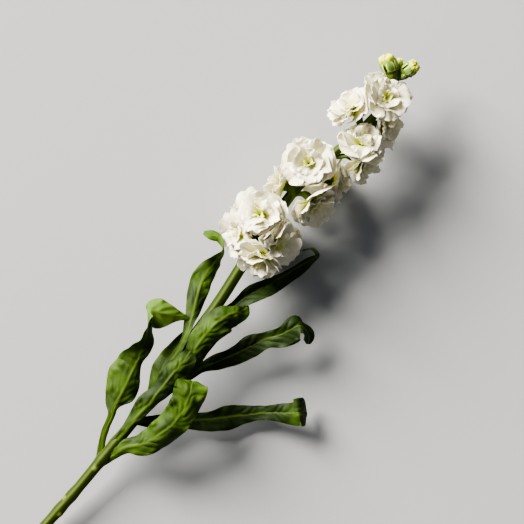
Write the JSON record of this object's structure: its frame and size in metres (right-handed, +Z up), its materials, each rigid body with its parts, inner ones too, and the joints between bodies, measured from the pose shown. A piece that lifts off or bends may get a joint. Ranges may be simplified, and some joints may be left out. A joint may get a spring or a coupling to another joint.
{
  "type": "stock flower",
  "caption": "Cut stem of white double stock, lying down, with waved green leaves, a dense spike of ruffled florets and pale buds at the tip.",
  "frame": {"origin": "on the surface, under the middle of the flower's length and width as it lies", "axes": "+X along the stem from the cut end to the buds, +Y to the left of the stem, +Z up from the surface it lies on"},
  "size_m": [0.4668, 0.1284, 0.0562],
  "materials": {
    "leaf_green": "satin",
    "petal_white": "matte",
    "bud_cream": "matte"
  },
  "bodies": {
    "root": {"bud_petals_01": "bud_cream", "bud_petals_02": "bud_cream", "bud_petals_03": "bud_cream", "floret_01": "petal_white", "floret_02": "petal_white", "floret_03": "petal_white", "floret_04": "petal_white", "floret_05": "petal_white", "floret_06": "petal_white", "floret_07": "petal_white", "floret_08": "petal_white", "floret_09": "petal_white", "floret_10": "petal_white", "floret_11": "petal_white", "floret_12": "petal_white", "floret_13": "petal_white", "floret_14": "petal_white", "floret_15": "petal_white", "floret_16": "petal_white", "leafy_stem": "leaf_green"}
  },
  "joints": []
}
